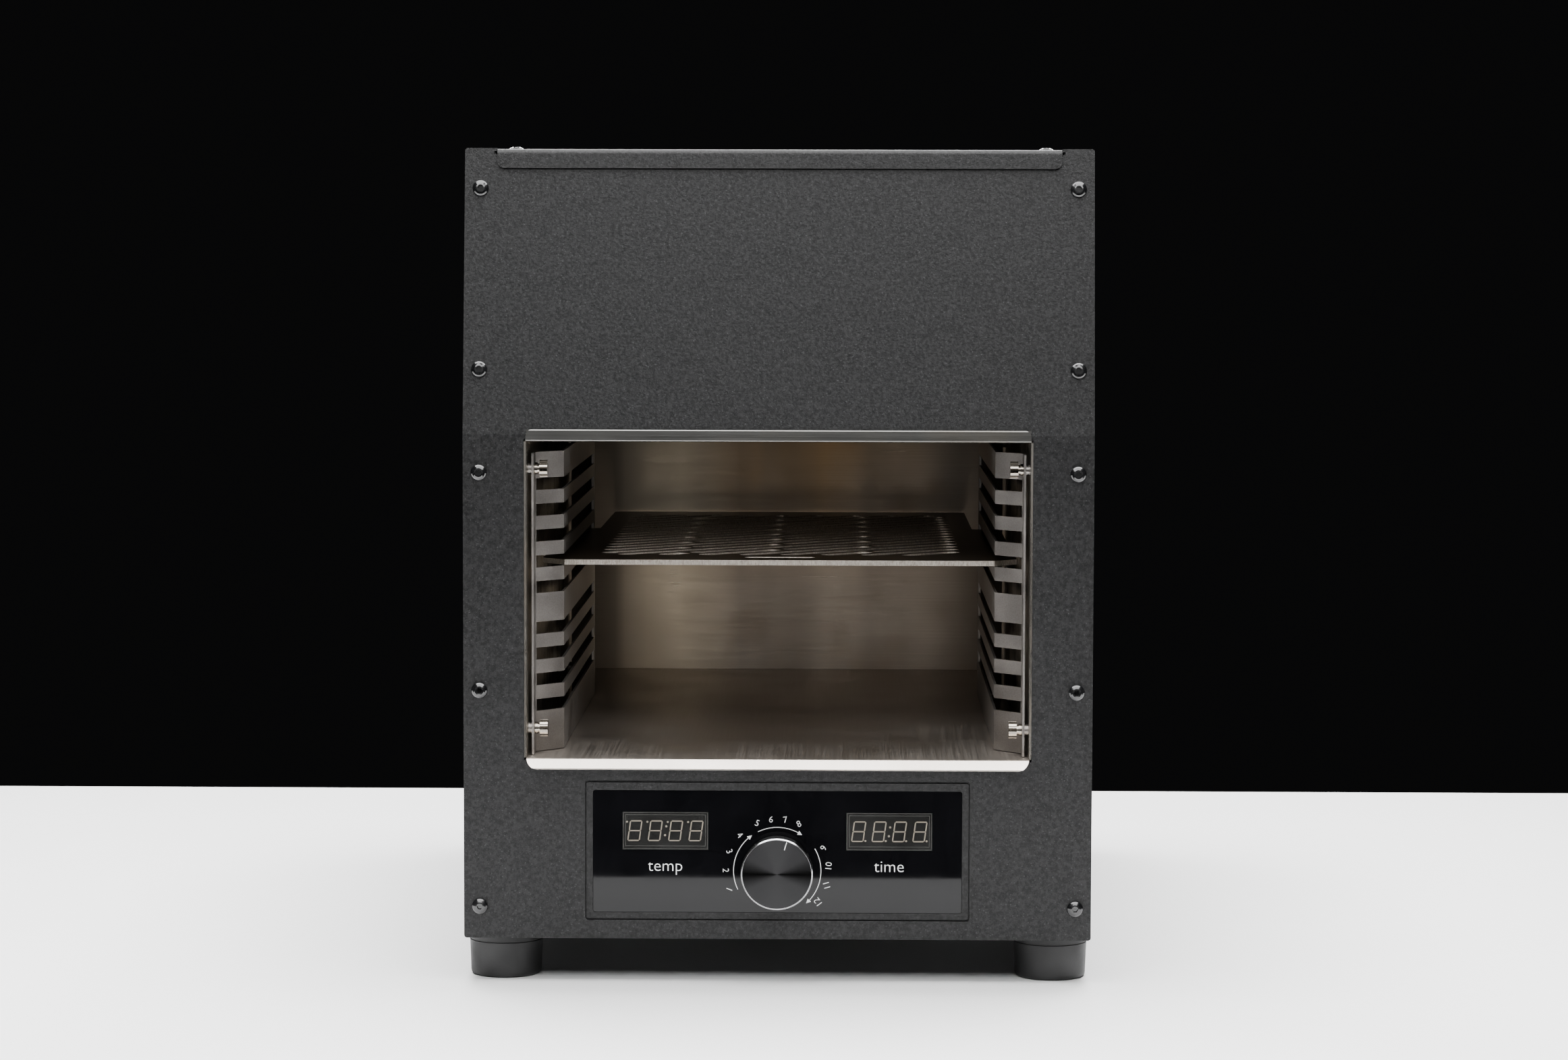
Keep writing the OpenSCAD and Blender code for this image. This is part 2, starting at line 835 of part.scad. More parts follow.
// Rocker drawn level, then tipped to its off position; two stub pins carry it
module power_rocker() {
  color([0.1, 0.1, 0.1])
  translate([rocker_x, 218.4, rear_parts_z])
    rotate([8, 0, 0])
      union() {
        along_x(-7.5, 7.5)
          polygon([[-3, -6], [4, -10.6], [12, -11], [9, 0], [12, 11], [4, 10.6], [-3, 6]]);
        rod_x(-8.8, 8.8, 0, 0, 1.5);
      }
}

// Power board on posts with its larger parts
module power_board() {
  color([0.1, 0.3, 0.15])
  union() {
    block(10, 105, 50, 180, 32, 33.6);
    for (x = [16, 99], y = [56, 174])
      rod_z(base_top, 32.5, x, y, 3);
    block(20, 60, 62, 100, 33, 68);
    block(70, 95, 62, 90, 33, 52);
    for (k = [0:2])
      rod_z(33, 66, 30 + 24 * k, 125, 9, 32);
    block(20, 90, 150, 165, 33, 48);
  }
}

// Finned heat sink on the base plate
module heat_sink() {
  color([0.6, 0.6, 0.62])
  union() {
    block(-105, -35, -60, 40, base_top, 27);
    for (k = [0:8])
      block(-105 + 8.5 * k, -103 + 8.5 * k, -60, 40, 26, 47);
  }
}

module heater_relay() {
  color([0.85, 0.85, 0.82])
  union() {
    block(-92, -48, 50, 108, base_top, 44);
    for (x = [-84, -56], y = [57, 101])
      rod_z(43, 48, x, y, 4, 20);
  }
}

// Fan frame: square body with a round duct, three arms and a motor cup at the back
module fan_frame() {
  color([0.08, 0.08, 0.08])
  translate([0, 0, fan_z])
    union() {
      difference() {
        along_y(202, 227) rounded(-40, 40, -40, 40, 4);
        rod_y(200, 230, 0, 0, 37.8, 72);
        for (x = [-35.75, 35.75], z = [-35.75, 35.75])
          rod_y(200, 230, x, z, 2.2, 20);
      }
      difference() {
        union() {
          for (k = [0:2])
            rotate([0, 120 * k + 30, 0]) block(0, 39, 224, 227, -2, 2);
          rod_y(222, 227, 0, 0, 15, 40);
        }
        rod_y(220, 225, 0, 0, 1.6, 24);
      }
    }
}

module fan_rotor() {
  color([0.1, 0.1, 0.1])
  translate([0, 0, fan_z])
    union() {
      rod_y(205, 221.6, 0, 0, 16, 48);
      rod_y(221, 224.7, 0, 0, 1.5, 24);
      intersection() {
        rod_y(205.2, 221.4, 0, 0, 36.9, 72);
        for (k = [0:6])
          rotate([0, 360 * k / 7, 0])
            translate([25, 213.3, 0]) rotate([42, 0, 0]) cube([26, 1.6, 24], center = true);
      }
    }
}

// Stamped fan guard: rings joined by crossed bars, with four drilled eyes
module fan_guard() {
  color(grey_steel)
  along_y(229.1, 230.7)
    translate([0, fan_z])
      difference() {
        union() {
          for (r = [9, 18, 27, 36])
            difference() {
              circle(r + 0.9, $fn = 64);
              circle(r - 0.9, $fn = 64);
            }
          for (a = [45, 135])
            rotate(a) square([101, 2.2], center = true);
          for (x = [-35.75, 35.75], z = [-35.75, 35.75])
            translate([x, z]) circle(4.4, $fn = 32);
        }
        for (x = [-35.75, 35.75], z = [-35.75, 35.75])
          translate([x, z]) circle(2.2, $fn = 20);
      }
}

// A sleeved wire along a chain of points, with a square clip at each turn
module wire(points, r) {
  for (k = [0:len(points) - 2]) {
    a = points[k];
    b = points[k + 1];
    d = b - a;
    translate(a)
      rotate([0, acos(d[2] / norm(d)), atan2(d[1], d[0])])
        cylinder(r = r, h = norm(d), $fn = 14);
    if (k < len(points) - 2)
      translate(b) cube(2.8 * r, center = true);
  }
}

module wiring() {
  color([0.6, 0.1, 0.08])
  union() {
    wire([[-102, 200.5, 66], [-102, 186, 66], [-38, 186, 66], [-38, 204.5, 66]], 1.8);
    wire([[-109, 202.5, 62], [-109, 101, 62], [-84, 101, 62], [-84, 101, 48.2]], 1.8);
    wire([[-45, 204.5, 60], [-45, 157, 60], [15, 157, 60], [15, 157, 40], [19.8, 157, 40]], 1.8);
    wire([[-56, 101, 48.2], [-56, 101, 56], [-56, 195, 56], [-130, 195, 56], [-130, 216, 56],
      [-130, 216, element_z], [-91, 216, element_z], [-91, 167, element_z]], 1.8);
  }
}

front_panel();
left_side_panel();
right_side_panel();
top_cover();
base_plate();
rear_panel();
front_screws();
cover_screws();
rear_screws();
base_screws();
foot_front_left();
foot_front_right();
foot_rear_left();
foot_rear_right();
foot_screws();
cavity_floor();
cavity_ceiling();
cavity_back();
cavity_left_wall();
cavity_right_wall();
cavity_supports();
left_rack();
right_rack();
rack_spacers();
rack_nuts();
thumb_screw_upper_left();
thumb_screw_lower_left();
thumb_screw_upper_right();
thumb_screw_lower_right();
slotted_tray();
heater_reflector();
heating_elements();
element_brackets();
element_bushings();
heater_insulation();
heater_cover();
temperature_probe();
control_frame();
control_glass();
temperature_display();
time_display();
control_board();
board_standoffs();
rotary_body();
press_plunger();
control_shaft();
control_knob();
knob_ring();
mains_inlet();
inlet_pins();
fuse_drawer();
switch_housing();
power_rocker();
power_board();
heat_sink();
heater_relay();
fan_frame();
fan_rotor();
fan_guard();
wiring();
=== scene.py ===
# %% [markdown]
# # An open-front tray oven
# The part is a black powder-coated box with a bare steel cavity, slotted racks, one heavy tray and
# a glass control strip. The CAD model already holds every sheet, screw and foot, so this lesson
# spends its effort on finishes, on printed and lit details, and on light that shows them.

# %% Load the frame
import math
import bmesh
import bpy
from mathutils import Matrix, Vector


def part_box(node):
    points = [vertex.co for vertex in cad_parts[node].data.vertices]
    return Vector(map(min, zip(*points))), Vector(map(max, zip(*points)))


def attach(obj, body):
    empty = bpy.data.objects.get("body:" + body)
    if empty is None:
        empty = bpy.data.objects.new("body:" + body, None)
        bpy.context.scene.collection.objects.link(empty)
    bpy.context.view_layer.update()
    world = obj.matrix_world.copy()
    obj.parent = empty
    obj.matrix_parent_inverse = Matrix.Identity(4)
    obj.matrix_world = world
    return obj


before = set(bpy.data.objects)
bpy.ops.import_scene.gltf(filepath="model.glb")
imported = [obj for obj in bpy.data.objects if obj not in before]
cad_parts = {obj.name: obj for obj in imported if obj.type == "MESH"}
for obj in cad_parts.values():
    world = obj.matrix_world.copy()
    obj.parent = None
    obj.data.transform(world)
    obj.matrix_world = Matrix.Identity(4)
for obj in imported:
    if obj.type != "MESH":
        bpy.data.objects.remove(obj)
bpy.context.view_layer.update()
MM = 0.001

# %% [markdown]
# ## Places to measure from
# Every added piece takes its place from a CAD node's box, so a change of the model moves the
# details with it. The glass gives the plane of the print, the two displays give the digits' centres,
# and the knob's own box gives its axis.

# %% Reference places
glass_low, glass_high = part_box("control_glass")
knob_low, knob_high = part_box("control_knob")
glass_front = glass_low.y
knob_x = (knob_low.x + knob_high.x) / 2
knob_z = (knob_low.z + knob_high.z) / 2
knob_radius = (knob_high.x - knob_low.x) / 2
knob_face = knob_low.y
print("glass front at y", round(glass_front, 4), "knob radius", round(knob_radius, 4))

# %% [markdown]
# ## Small helpers for finishes
# A finish is a Principled shader fed by a few procedural nodes. The helpers below keep each later
# cell down to the decisions that matter: how large the grain is, which way it runs, and how far it
# changes colour, roughness and height. All patterns use object coordinates, which here are metres
# in the part's own frame, so a grain size can be given as a real length.

# %% Finish helpers
def new_finish(name, roughness=0.5, metallic=0.0, coat=0.0, anisotropic=0.0):
    """A Principled shader wired to its output. Returns the material, its node tree and the shader."""
    material = bpy.data.materials.new(name)
    material.use_nodes = True
    tree = material.node_tree
    tree.nodes.clear()
    output = tree.nodes.new("ShaderNodeOutputMaterial")
    shader = tree.nodes.new("ShaderNodeBsdfPrincipled")
    shader.inputs["Roughness"].default_value = roughness
    shader.inputs["Metallic"].default_value = metallic
    shader.inputs["Coat Weight"].default_value = coat
    shader.inputs["Anisotropic"].default_value = anisotropic
    tree.links.new(shader.outputs[0], output.inputs[0])
    return material, tree, shader


def place(tree, stretch=(1, 1, 1)):
    """Object coordinates in metres, multiplied per axis: a small number draws the grain out."""
    where = tree.nodes.new("ShaderNodeTexCoord")
    scale = tree.nodes.new("ShaderNodeMapping")
    scale.inputs["Scale"].default_value = stretch
    tree.links.new(where.outputs["Object"], scale.inputs["Vector"])
    return scale.outputs["Vector"]


def grain(tree, vector, size, detail=2.0, rough=0.5):
    """Noise whose features are about size metres across."""
    noise = tree.nodes.new("ShaderNodeTexNoise")
    noise.inputs["Scale"].default_value = 1 / size
    noise.inputs["Detail"].default_value = detail
    noise.inputs["Roughness"].default_value = rough
    tree.links.new(vector, noise.inputs["Vector"])
    return noise.outputs["Fac"]


def spots(tree, vector, size):
    """Distance to the nearest of many scattered points, size metres apart."""
    cells = tree.nodes.new("ShaderNodeTexVoronoi")
    cells.inputs["Scale"].default_value = 1 / size
    tree.links.new(vector, cells.inputs["Vector"])
    return cells.outputs["Distance"]


def band(tree, value, low, high, to_low=0.0, to_high=1.0):
    """Maps low..high to to_low..to_high, clamped."""
    node = tree.nodes.new("ShaderNodeMapRange")
    for name, number in (("From Min", low), ("From Max", high), ("To Min", to_low), ("To Max", to_high)):
        node.inputs[name].default_value = number
    tree.links.new(value, node.inputs["Value"])
    return node.outputs["Result"]


def blend_colours(tree, factor, first, second):
    """first where factor is 0, second where it is 1. Each is a colour or another node's output."""
    node = tree.nodes.new("ShaderNodeMix")
    node.data_type = "RGBA"
    tree.links.new(factor, node.inputs["Factor"])
    for socket, colour in ((node.inputs[6], first), (node.inputs[7], second)):
        if isinstance(colour, tuple):
            socket.default_value = (*colour, 1)
        else:
            tree.links.new(colour, socket)
    return node.outputs[2]


def combine(tree, operation, first, second):
    """Arithmetic on two values. Each is a number or another node's output."""
    node = tree.nodes.new("ShaderNodeMath")
    node.operation = operation
    for socket, value in ((node.inputs[0], first), (node.inputs[1], second)):
        if isinstance(value, (int, float)):
            socket.default_value = value
        else:
            tree.links.new(value, socket)
    return node.outputs[0]


def relief(tree, shader, height, depth, strength=1.0):
    """Bump of the given depth in metres."""
    node = tree.nodes.new("ShaderNodeBump")
    node.inputs["Distance"].default_value = depth
    node.inputs["Strength"].default_value = strength
    tree.links.new(height, node.inputs["Height"])
    tree.links.new(node.outputs["Normal"], shader.inputs["Normal"])


def feed(tree, shader, **inputs):
    """Links outputs to the shader's sockets: base_color=... goes to Base Color."""
    for name, output in inputs.items():
        tree.links.new(output, shader.inputs[name.replace("_", " ").title()])


# %% [markdown]
# ## Powder coat
# The case is sprayed with powder that melts into a skin of tiny hills, a millimetre or less
# across, and it keeps a dry, sandy sheen. A flat black would look like paper, so three scales are
# mixed: the sand itself as bump and as a change of tone, sparse painted glints, which are pale spots
# in the colour standing in for light caught by single grains, and a slow cloud that changes
# roughness where hands and cloths have been.

# %% Powder coat
def powder_coat(name, tone):
    material, tree, shader = new_finish(name)
    flat = place(tree)
    sand = grain(tree, flat, 1.6 * MM, 5, 0.85)
    cloud = grain(tree, flat, 90 * MM, 3)
    # painted glints: pale spots mixed into the colour stand in for highlights on single grains
    glints = band(tree, spots(tree, flat, 1.9 * MM), 0.22, 0.06)
    dark = tuple(c * 0.15 for c in tone)
    light = tuple(c * 3.2 for c in tone)
    colour = blend_colours(tree, band(tree, sand, 0.42, 0.58), dark, light)
    colour = blend_colours(tree, combine(tree, "MULTIPLY", glints, 0.09), colour, (0.3, 0.3, 0.31))
    feed(tree, shader, base_color=colour, roughness=band(tree, cloud, 0.3, 0.7, 0.32, 0.38))
    shader.inputs["Specular IOR Level"].default_value = 0.3
    relief(tree, shader, sand, 0.3 * MM)
    return material


case_coat = powder_coat("case_powder_coat", (0.0050, 0.0050, 0.0051))
print("made", case_coat.name)

# %% [markdown]
# ## Cavity steel
# The cavity is bright rolled stainless. Rolling leaves faint straight lines, so the grain is drawn
# out along one axis: noise whose coordinates are squeezed along that axis turns into long fine lines.
# The same helper makes the floor, the side walls and the ceiling, which differ in colour, in the
# way the lines run and in how sharp a reflection they keep.

# %% Rolled steel
LINE_SQUEEZE = 0.012


def rolled_steel(name, colour, along, roughness, anisotropic=0.3, wear=1.0):
    """along is 0 for lines along X, 1 for Y and 2 for Z."""
    material, tree, shader = new_finish(name, roughness, 1.0, anisotropic=anisotropic)
    stretch = [1, 1, 1]
    stretch[along] = LINE_SQUEEZE
    lines = grain(tree, place(tree, tuple(stretch)), 0.9 * MM, 4, 0.6)
    cloud = grain(tree, place(tree), 50 * MM, 4, 0.6)
    darker = tuple(c * (1 - 0.18 * wear) for c in colour)
    tone = blend_colours(tree, band(tree, lines, 0.3, 0.7), darker, colour)
    stain = tuple(c * f for c, f in zip(colour, (0.8, 0.7, 0.58)))
    tone = blend_colours(tree, band(tree, cloud, 0.5, 0.75, 0, 0.6 * wear), tone, stain)
    feed(tree, shader, base_color=tone,
         roughness=band(tree, combine(tree, "ADD", lines, cloud), 0.7, 1.3,
                        roughness * 0.8, roughness * 1.25))
    relief(tree, shader, lines, 0.02 * MM * wear, 0.5)
    return material, tree, shader, tone


floor_steel = rolled_steel("cavity_floor_steel", (0.70, 0.64, 0.58), 1, 0.37, wear=0.06)[0]
side_steel = rolled_steel("cavity_side_steel", (0.60, 0.56, 0.50), 2, 0.27)[0]
lip_steel = rolled_steel("cavity_ceiling_steel", (0.17, 0.168, 0.16), 0, 0.4)[0]
print("made", floor_steel.name, side_steel.name, lip_steel.name)

# %% [markdown]
# ## Heat-tinted back wall
# The back wall has been heated from above, and its oxide skin turns straw and then brown near the
# top. That tint is a function of height and of distance from the middle, broken up with noise. The
# sheet is also not quite flat, so the real wall shows soft upright bands of reflected light and one
# pale column of reflected light to the left. A flat mesh can't bend its reflections like that, so they
# are painted reflections mixed into the colour, with a painted shade along the left edge where the
# left rack is reflected dark, and an anisotropic shader draws the highlights out along the rolling lines.

# %% Heat-tinted steel
back_low, back_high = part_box("cavity_back")
back_steel, tree, shader, wall_tone = rolled_steel("heat_tinted_steel", (0.55, 0.485, 0.41), 0, 0.34, 0.7)


def radial_tangent(tree, shader, axis):
    """Anisotropic highlights are drawn out relative to circles round the given axis."""
    tangent = tree.nodes.new("ShaderNodeTangent")
    tangent.direction_type = "RADIAL"
    tangent.axis = axis
    tree.links.new(tangent.outputs[0], shader.inputs["Tangent"])
    shader.inputs["Anisotropic Rotation"].default_value = 0.25


radial_tangent(tree, shader, "Z")
axes = tree.nodes.new("ShaderNodeSeparateXYZ")
tree.links.new(place(tree), axes.inputs[0])
height = band(tree, axes.outputs["Z"], back_low.z + 50 * MM, back_high.z)
side = band(tree, combine(tree, "ABSOLUTE", axes.outputs["X"], 0.0), 0.0, 110 * MM, 1.0, 0.0)
patchy = band(tree, grain(tree, place(tree), 60 * MM, 3), 0.3, 0.7, 0.6, 1.0)
heat = combine(tree, "MULTIPLY", combine(tree, "MULTIPLY", height, side), patchy)
STRAW_BROWN = (0.66, 0.38, 0.11)
tinted = blend_colours(tree, heat, wall_tone, STRAW_BROWN)
# painted reflections: soft upright bands, lighter and darker, mixed into the colour
streaks = band(tree, grain(tree, place(tree, (1, 1, 0.02)), 35 * MM, 2), 0.35, 0.65, 0.35, 1.0)
# painted reflection: a pale warm column left of the middle
PALE_COLUMN_X = -75 * MM
from_column = combine(tree, "ADD", axes.outputs["X"], -PALE_COLUMN_X)
pale_column = band(tree, combine(tree, "ABSOLUTE", from_column, 0.0), 10 * MM, 45 * MM, 1.0, 0.0)
shine = combine(tree, "MAXIMUM", streaks, pale_column)
tinted = blend_colours(tree, shine, (0.30, 0.26, 0.22), tinted)
tinted = blend_colours(tree, combine(tree, "MULTIPLY", pale_column, 0.8), tinted, (1.0, 0.88, 0.68))
# painted shade: a dark band along the left edge, where the left rack is reflected dark
left_edge = band(tree, axes.outputs["X"], back_low.x + 19 * MM, back_low.x + 25 * MM, 0.35, 0.0)
tinted = blend_colours(tree, left_edge, tinted, (0.10, 0.085, 0.07))
tree.links.new(tinted, shader.inputs["Base Color"])
print("back wall", round(back_high.x - back_low.x, 3), "m wide")

# %% [markdown]
# ## Rack, tray and screw metals
# The racks are a duller, slightly pink grey: pickled sheet with almost no direction. The tray is one
# thick plate cut by laser, so its faces are dark and satin from heat while its cut edges are pale
# and grainy. One finish covers both by reading the surface's own normal: faces that point up or down
# get the plate tone, and every other face gets the cut tone.

# %% Rack, tray, nickel and zinc
def satin_metal(name, colour, roughness, size=0.7 * MM, bump=0.02 * MM):
    """Metal with a fine grain of the given size and bump depth, and a slow cloud of roughness."""
    material, tree, shader = new_finish(name, roughness, 1.0)
    flat = place(tree)
    fine = grain(tree, flat, size, 3, 0.6)
    cloud = grain(tree, flat, 20 * MM, 3)
    darker = tuple(c * 0.75 for c in colour)
    tone = blend_colours(tree, band(tree, combine(tree, "ADD", fine, cloud), 0.75, 1.25), darker, colour)
    feed(tree, shader, base_color=tone,
         roughness=band(tree, cloud, 0.3, 0.7, roughness * 0.85, roughness * 1.2))
    relief(tree, shader, fine, bump, 0.6)
    return material, tree, shader, tone


rack_steel = satin_metal("rack_satin_steel", (0.42, 0.395, 0.375), 0.42)[0]
nickel = satin_metal("bright_nickel", (0.36, 0.325, 0.28), 0.16, 0.4 * MM, 0.006 * MM)[0]
zinc = satin_metal("zinc_plate", (0.55, 0.55, 0.54), 0.4)[0]
sheath = satin_metal("oxidised_sheath", (0.16, 0.15, 0.14), 0.55)[0]
sink_metal = satin_metal("extruded_aluminium", (0.62, 0.62, 0.64), 0.35)[0]
brass = satin_metal("pin_plating", (0.78, 0.66, 0.40), 0.25)[0]
ring_metal = satin_metal("bright_cut_ring", (0.62, 0.62, 0.63), 0.16, 0.3 * MM, 0.004 * MM)[0]

tray_metal, tree, shader, face_tone = satin_metal("tray_plate", (0.17, 0.135, 0.095), 0.36, 1.2 * MM)
surface = tree.nodes.new("ShaderNodeNewGeometry")
normal = tree.nodes.new("ShaderNodeSeparateXYZ")
tree.links.new(surface.outputs["True Normal"], normal.inputs[0])
is_cut = band(tree, combine(tree, "ABSOLUTE", normal.outputs["Z"], 0.0), 0.9, 0.5)
burr = grain(tree, place(tree, (1, 1, 0.25)), 0.45 * MM, 3, 0.7)
cut_tone = blend_colours(tree, band(tree, burr, 0.35, 0.65),
                         (0.24, 0.215, 0.185), (0.52, 0.48, 0.43))
tree.links.new(blend_colours(tree, is_cut, face_tone, cut_tone), shader.inputs["Base Color"])
tree.links.new(band(tree, is_cut, 0, 1, 0.34, 0.6), shader.inputs["Roughness"])
print("made", tray_metal.name)

# %% [markdown]
# ## Dark parts: oxide screws, rubber, glass, moulded plastic
# Black things differ mostly in how they shine. Screws carry a thin oxide and glint at their edges,
# rubber is dull with a faint bloom, the control glass is a mirror with a little dust, and moulded
# plastic has a fine spark-eroded texture. Each one is given its own grain and roughness.

# %% Non-metal finishes
def moulded(name, colour, roughness, size=0.6 * MM, bump=0.03 * MM, coat=0.0, vary=0.25):
    """A finish with no metal in it, whose tone varies by the given share either way."""
    material, tree, shader = new_finish(name, roughness, coat=coat)
    flat = place(tree)
    fine = grain(tree, flat, size, 3, 0.6)
    cloud = grain(tree, flat, 15 * MM, 3)
    low = tuple(c * (1 - vary) for c in colour)
    high = tuple(min(1, c * (1 + vary)) for c in colour)
    tone = blend_colours(tree, band(tree, combine(tree, "ADD", fine, cloud), 0.75, 1.25), low, high)
    feed(tree, shader, base_color=tone,
         roughness=band(tree, cloud, 0.3, 0.7, roughness * 0.8, roughness * 1.25))
    relief(tree, shader, fine, bump, 0.6)
    return material


screw_oxide = moulded("screw_black_oxide", (0.006, 0.006, 0.0065), 0.16, 0.3 * MM, 0.006 * MM, coat=0.5)
rubber = moulded("foot_rubber", (0.0035, 0.0035, 0.0037), 0.5, 0.9 * MM, 0.04 * MM)
panel_glass = moulded("control_glass_black", (0.003, 0.003, 0.0036), 0.035, 2 * MM, 0.0004 * MM)
panel_glass.node_tree.nodes["Principled BSDF"].inputs["Specular IOR Level"].default_value = 0.27
display_face = moulded("display_smoked", (0.015, 0.015, 0.0143), 0.12, 0.7 * MM, 0.004 * MM, coat=1.0)
black_plastic = moulded("black_moulding", (0.022, 0.022, 0.022), 0.45)
white_plastic = moulded("white_moulding", (0.62, 0.62, 0.59), 0.45, vary=0.06)
ceramic = moulded("white_ceramic", (0.80, 0.78, 0.73), 0.5, 1 * MM, 0.05 * MM, vary=0.08)
blanket = moulded("fibre_blanket", (0.80, 0.78, 0.72), 0.9, 2 * MM, 0.6 * MM, vary=0.12)
board_green = moulded("board_mask", (0.012, 0.09, 0.04), 0.25, 1.2 * MM, 0.02 * MM, coat=0.5)
wire_red = moulded("wire_sleeve", (0.28, 0.03, 0.025), 0.5)
ink = moulded("printed_ink", (0.85, 0.85, 0.84), 0.5, 0.3 * MM, 0.01 * MM, vary=0.1)
segment_cream = moulded("unlit_segment", (0.21, 0.18, 0.14), 0.45, 0.4 * MM, 0.01 * MM, vary=0.08)
# painted highlight: a paler glossy grey standing in for light caught by the windows' polished edges
window_edge = moulded("window_edge", (0.055, 0.055, 0.052), 0.12, 0.6 * MM, 0.004 * MM, coat=0.8)
print("made 13 non-metal finishes")

# %% [markdown]
# ## Spun knob face
# The knob is turned on a lathe and dyed black. The tool leaves rings too fine to see, and light
# spreads across them, so the face shows bright fans above and below its centre and a dark bow tie
# from side to side. An anisotropic shader with a radial tangent does this with no modelled rings,
# and a faint ring bump adds the slow waviness of a real cut. Under wide soft lights the bow tie
# washes out, so painted shade is also mixed into the colour: darker towards the sides, by the
# direction from the axis, a painted bow tie of reflection. That painted shade turns with the knob,
# which a true reflection would not.

# %% Spun metal
spun, tree, shader = new_finish("spun_black_aluminium", 0.24, 1.0, anisotropic=1.0)
radial_tangent(tree, shader, "Y")
offset = tree.nodes.new("ShaderNodeMapping")
offset.inputs["Location"].default_value = (-knob_x, 0, -knob_z)
where = tree.nodes.new("ShaderNodeTexCoord")
tree.links.new(where.outputs["Object"], offset.inputs["Vector"])
rings = tree.nodes.new("ShaderNodeTexWave")
rings.wave_type = "RINGS"
rings.rings_direction = "Y"
rings.inputs["Scale"].default_value = 900
rings.inputs["Distortion"].default_value = 0.6
tree.links.new(offset.outputs["Vector"], rings.inputs["Vector"])
cut = blend_colours(tree, rings.outputs["Fac"], (0.032, 0.032, 0.033), (0.046, 0.046, 0.047))
outward = tree.nodes.new("ShaderNodeVectorMath")
outward.operation = "NORMALIZE"
flatten = tree.nodes.new("ShaderNodeVectorMath")
flatten.operation = "MULTIPLY"
flatten.inputs[1].default_value = (1, 0, 1)
tree.links.new(offset.outputs["Vector"], flatten.inputs[0])
tree.links.new(flatten.outputs[0], outward.inputs[0])
split = tree.nodes.new("ShaderNodeSeparateXYZ")
tree.links.new(outward.outputs[0], split.inputs[0])
# painted shade: the colour darkens towards the sides of the face, a painted dark bow tie standing in for
# reflection
fan = band(tree, combine(tree, "ABSOLUTE", split.outputs["Z"], 0.0), 0.03, 0.5)
feed(tree, shader, base_color=blend_colours(tree, fan, (0.004, 0.004, 0.004), cut))
relief(tree, shader, rings.outputs["Fac"], 0.002 * MM, 0.4)
print("made", spun.name)

# %% [markdown]
# ## Dress the CAD nodes
# Each CAD node keeps its own mesh and only gets a finish. The table below says which one, so that
# every node is named once and a change of finish is one line.

# %% Assign finishes
dress = {
    case_coat: ["front_panel", "left_side_panel", "right_side_panel", "top_cover", "base_plate",
                "rear_panel", "control_frame"],
    screw_oxide: ["front_screws", "cover_screws", "rear_screws", "base_screws"],
    rubber: ["foot_front_left", "foot_front_right", "foot_rear_left", "foot_rear_right"],
    floor_steel: ["cavity_floor", "heater_reflector"],
    lip_steel: ["cavity_ceiling", "element_brackets"],
    side_steel: ["cavity_left_wall", "cavity_right_wall"],
    back_steel: ["cavity_back"],
    rack_steel: ["left_rack", "right_rack", "rack_spacers"],
    nickel: ["thumb_screw_upper_left", "thumb_screw_lower_left", "thumb_screw_upper_right",
             "thumb_screw_lower_right"],
    tray_metal: ["slotted_tray"],
    zinc: ["foot_screws", "rack_nuts", "cavity_supports", "heater_cover", "control_shaft",
           "board_standoffs", "rotary_body", "fan_guard"],
    sheath: ["heating_elements", "temperature_probe"],
    ceramic: ["element_bushings"],
    blanket: ["heater_insulation"],
    panel_glass: ["control_glass"],
    display_face: ["temperature_display", "time_display"],
    board_green: ["control_board", "power_board"],
    white_plastic: ["press_plunger", "heater_relay"],
    spun: ["control_knob"],
    ring_metal: ["knob_ring"],
    black_plastic: ["mains_inlet", "fuse_drawer", "switch_housing", "power_rocker", "fan_frame",
                    "fan_rotor"],
    brass: ["inlet_pins"],
    sink_metal: ["heat_sink"],
    wire_red: ["wiring"],
}
for material, names in dress.items():
    for name in names:
        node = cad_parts[name]
        node.data.materials.clear()
        node.data.materials.append(material)
dressed = {name for names in dress.values() for name in names}
print("dressed", len(dressed), "of", len(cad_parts), "nodes")
print("left without a finish:", set(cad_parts) - dressed)

# %% [markdown]
# ## Edges of folded and cut sheet
# Folded and cut sheet never has a knife-sharp edge. A small Bevel modifier gives each edge a narrow
# strip that catches the light, which is how the eye reads sheet metal. Case and cavity sheets get a
# wider strip than the racks, the tray and the glass, whose slots and edges are finer.

# %% Soften the sheet edges
def soften(name, width):
    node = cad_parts[name]
    bevel = node.modifiers.new("edge", "BEVEL")
    bevel.width = width
    bevel.segments = 2
    bevel.limit_method = "ANGLE"
    bevel.angle_limit = math.radians(40)
    bevel.harden_normals = True


edge_widths = {
    0.35 * MM: ("front_panel", "left_side_panel", "right_side_panel", "top_cover", "rear_panel",
                "cavity_floor", "cavity_ceiling", "control_frame"),
    0.2 * MM: ("left_rack", "right_rack", "slotted_tray", "control_glass", "cavity_left_wall",
               "cavity_right_wall"),
}
for width, names in edge_widths.items():
    for name in names:
        soften(name, width)
print("softened", sum(len(names) for names in edge_widths.values()), "nodes")

# %% [markdown]
# ## Flat pieces from outlines
# Digits, print and marks are all thin flat pieces that face the front. One builder serves them all:
# it takes outlines in the front plane, as lists of (x, z) points in metres, and gives each a small
# thickness. A mesh is used rather than a texture because the shape then stays crisp at any distance
# and is part of the model.

